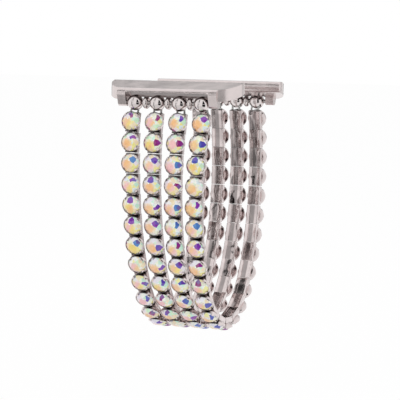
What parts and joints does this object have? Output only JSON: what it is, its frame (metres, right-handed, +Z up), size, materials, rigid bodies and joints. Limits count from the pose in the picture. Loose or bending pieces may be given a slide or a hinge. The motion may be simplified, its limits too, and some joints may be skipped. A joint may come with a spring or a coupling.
{
  "type": "stretch watch band",
  "caption": "Closed stretch watch band: strands of separately set round rhinestones on elastic cord between metal lug adapters that slide into a watch case.",
  "frame": {"origin": "middle of the front lug adapter's tongue, where the watch case holds it", "axes": "+X along the tongue, across the strands; +Y from the front adapter to the rear one; +Z up, away from the wrist space"},
  "size_m": [0.0344, 0.0504, 0.0635],
  "materials": {
    "lug_metal": "polished",
    "setting_metal": "polished",
    "bead_metal": "mirror polished",
    "stone_crystal": "faceted, rainbow coated, foil backed",
    "bar_steel": "turned",
    "elastic": "clear stretch cord"
  },
  "bodies": {
    "front_lug": {"front_lug": "lug_metal", "front_bar": "bar_steel", "elastic_cords": "elastic"},
    "front_latch": {"front_latch": "bar_steel"},
    "front_beads": {"front_bar_beads": "bead_metal"},
    "row_01": {"settings_row_01": "setting_metal", "stones_row_01": "stone_crystal"},
    "row_02": {"settings_row_02": "setting_metal", "stones_row_02": "stone_crystal"},
    "row_03": {"settings_row_03": "setting_metal", "stones_row_03": "stone_crystal"},
    "row_04": {"settings_row_04": "setting_metal", "stones_row_04": "stone_crystal"},
    "row_05": {"settings_row_05": "setting_metal", "stones_row_05": "stone_crystal"},
    "row_06": {"settings_row_06": "setting_metal", "stones_row_06": "stone_crystal"},
    "row_07": {"settings_row_07": "setting_metal", "stones_row_07": "stone_crystal"},
    "row_08": {"settings_row_08": "setting_metal", "stones_row_08": "stone_crystal"},
    "row_09": {"settings_row_09": "setting_metal", "stones_row_09": "stone_crystal"},
    "row_10": {"settings_row_10": "setting_metal", "stones_row_10": "stone_crystal"},
    "row_11": {"settings_row_11": "setting_metal", "stones_row_11": "stone_crystal"},
    "row_12": {"settings_row_12": "setting_metal", "stones_row_12": "stone_crystal"},
    "row_13": {"settings_row_13": "setting_metal", "stones_row_13": "stone_crystal"},
    "row_14": {"settings_row_14": "setting_metal", "stones_row_14": "stone_crystal"},
    "row_15": {"settings_row_15": "setting_metal", "stones_row_15": "stone_crystal"},
    "row_16": {"settings_row_16": "setting_metal", "stones_row_16": "stone_crystal"},
    "row_17": {"settings_row_17": "setting_metal", "stones_row_17": "stone_crystal"},
    "row_18": {"settings_row_18": "setting_metal", "stones_row_18": "stone_crystal"},
    "row_19": {"settings_row_19": "setting_metal", "stones_row_19": "stone_crystal"},
    "row_20": {"settings_row_20": "setting_metal", "stones_row_20": "stone_crystal"},
    "row_21": {"settings_row_21": "setting_metal", "stones_row_21": "stone_crystal"},
    "row_22": {"settings_row_22": "setting_metal", "stones_row_22": "stone_crystal"},
    "row_23": {"settings_row_23": "setting_metal", "stones_row_23": "stone_crystal"},
    "row_24": {"settings_row_24": "setting_metal", "stones_row_24": "stone_crystal"},
    "row_25": {"settings_row_25": "setting_metal", "stones_row_25": "stone_crystal"},
    "rear_beads": {"rear_bar_beads": "bead_metal"},
    "rear_lug": {"rear_lug": "lug_metal", "rear_bar": "bar_steel"},
    "rear_latch": {"rear_latch": "bar_steel"}
  },
  "joints": [
    {"name": "front_latch_press", "type": "slide", "parent": "front_lug", "child": "front_latch", "axis": [0, -0.2351, 0.972], "range_m": [0, 0.0006], "stiffness_N_per_m": 200, "springref_m": -0.0005},
    {"name": "front_bar_swing", "type": "hinge", "parent": "front_lug", "child": "front_beads", "pos_m": [0, -0.0031, -0.00305], "axis": [1, 0, 0], "range_deg": [-25, 25], "deforming": ["elastic_cords"]},
    {"name": "link_00_bend", "type": "hinge", "parent": "front_beads", "child": "row_01", "pos_m": [0, -0.00175, -0.00575], "axis": [1, 0, 0], "range_deg": [-5, 1.5]},
    {"name": "link_01_bend", "type": "hinge", "parent": "row_01", "child": "row_02", "pos_m": [0, -0.00282, -0.01063], "axis": [1, 0, 0], "range_deg": [-4.8, 1.5]},
    {"name": "link_02_bend", "type": "hinge", "parent": "row_02", "child": "row_03", "pos_m": [0, -0.00348, -0.01559], "axis": [1, 0, 0], "range_deg": [-4.8, 1.5]},
    {"name": "link_03_bend", "type": "hinge", "parent": "row_03", "child": "row_04", "pos_m": [0, -0.00373, -0.02058], "axis": [1, 0, 0], "range_deg": [-4.8, 1.5]},
    {"name": "link_04_bend", "type": "hinge", "parent": "row_04", "child": "row_05", "pos_m": [0, -0.00355, -0.02558], "axis": [1, 0, 0], "range_deg": [-4.8, 1.5]},
    {"name": "link_05_bend", "type": "hinge", "parent": "row_05", "child": "row_06", "pos_m": [0, -0.00296, -0.03054], "axis": [1, 0, 0], "range_deg": [-4.82, 1.5]},
    {"name": "link_06_bend", "type": "hinge", "parent": "row_06", "child": "row_07", "pos_m": [0, -0.00195, -0.03544], "axis": [1, 0, 0], "range_deg": [-4.93, 1.5]},
    {"name": "link_07_bend", "type": "hinge", "parent": "row_07", "child": "row_08", "pos_m": [0, -0.00053, -0.04023], "axis": [1, 0, 0], "range_deg": [-5.43, 1.5]},
    {"name": "link_08_bend", "type": "hinge", "parent": "row_08", "child": "row_09", "pos_m": [0, 0.00134, -0.04487], "axis": [1, 0, 0], "range_deg": [-6.91, 1.5]},
    {"name": "link_09_bend", "type": "hinge", "parent": "row_09", "child": "row_10", "pos_m": [0, 0.00376, -0.04925], "axis": [1, 0, 0], "range_deg": [-9.93, 1.5]},
    {"name": "link_10_bend", "type": "hinge", "parent": "row_10", "child": "row_11", "pos_m": [0, 0.0069, -0.05314], "axis": [1, 0, 0], "range_deg": [-14.05, 1.5]},
    {"name": "link_11_bend", "type": "hinge", "parent": "row_11", "child": "row_12", "pos_m": [0, 0.01088, -0.05616], "axis": [1, 0, 0], "range_deg": [-17.64, 1.5]},
    {"name": "link_12_bend", "type": "hinge", "parent": "row_12", "child": "row_13", "pos_m": [0, 0.0156, -0.05783], "axis": [1, 0, 0], "range_deg": [-19.46, 1.5]},
    {"name": "link_13_bend", "type": "hinge", "parent": "row_13", "child": "row_14", "pos_m": [0, 0.0206, -0.05783], "axis": [1, 0, 0], "range_deg": [-19.46, 1.5]},
    {"name": "link_14_bend", "type": "hinge", "parent": "row_14", "child": "row_15", "pos_m": [0, 0.02531, -0.05616], "axis": [1, 0, 0], "range_deg": [-17.64, 1.5]},
    {"name": "link_15_bend", "type": "hinge", "parent": "row_15", "child": "row_16", "pos_m": [0, 0.0293, -0.05314], "axis": [1, 0, 0], "range_deg": [-14.05, 1.5]},
    {"name": "link_16_bend", "type": "hinge", "parent": "row_16", "child": "row_17", "pos_m": [0, 0.03243, -0.04925], "axis": [1, 0, 0], "range_deg": [-9.93, 1.5]},
    {"name": "link_17_bend", "type": "hinge", "parent": "row_17", "child": "row_18", "pos_m": [0, 0.03485, -0.04487], "axis": [1, 0, 0], "range_deg": [-6.91, 1.5]},
    {"name": "link_18_bend", "type": "hinge", "parent": "row_18", "child": "row_19", "pos_m": [0, 0.03672, -0.04023], "axis": [1, 0, 0], "range_deg": [-5.43, 1.5]},
    {"name": "link_19_bend", "type": "hinge", "parent": "row_19", "child": "row_20", "pos_m": [0, 0.03815, -0.03544], "axis": [1, 0, 0], "range_deg": [-4.93, 1.5]},
    {"name": "link_20_bend", "type": "hinge", "parent": "row_20", "child": "row_21", "pos_m": [0, 0.03916, -0.03054], "axis": [1, 0, 0], "range_deg": [-4.82, 1.5]},
    {"name": "link_21_bend", "type": "hinge", "parent": "row_21", "child": "row_22", "pos_m": [0, 0.03975, -0.02558], "axis": [1, 0, 0], "range_deg": [-4.8, 1.5]},
    {"name": "link_22_bend", "type": "hinge", "parent": "row_22", "child": "row_23", "pos_m": [0, 0.03992, -0.02058], "axis": [1, 0, 0], "range_deg": [-4.8, 1.5]},
    {"name": "link_23_bend", "type": "hinge", "parent": "row_23", "child": "row_24", "pos_m": [0, 0.03968, -0.01559], "axis": [1, 0, 0], "range_deg": [-4.8, 1.5]},
    {"name": "link_24_bend", "type": "hinge", "parent": "row_24", "child": "row_25", "pos_m": [0, 0.03902, -0.01063], "axis": [1, 0, 0], "range_deg": [-4.8, 1.5]},
    {"name": "link_25_bend", "type": "hinge", "parent": "row_25", "child": "rear_beads", "pos_m": [0, 0.03794, -0.00575], "axis": [1, 0, 0], "range_deg": [-5, 1.5]},
    {"name": "rear_bar_swing", "type": "hinge", "parent": "rear_beads", "child": "rear_lug", "pos_m": [0, 0.03929, -0.00305], "axis": [1, 0, 0], "range_deg": [-25, 25]},
    {"name": "rear_latch_press", "type": "slide", "parent": "rear_lug", "child": "rear_latch", "axis": [0, 0.2351, 0.972], "range_m": [0, 0.0006], "stiffness_N_per_m": 200, "springref_m": -0.0005}
  ]
}
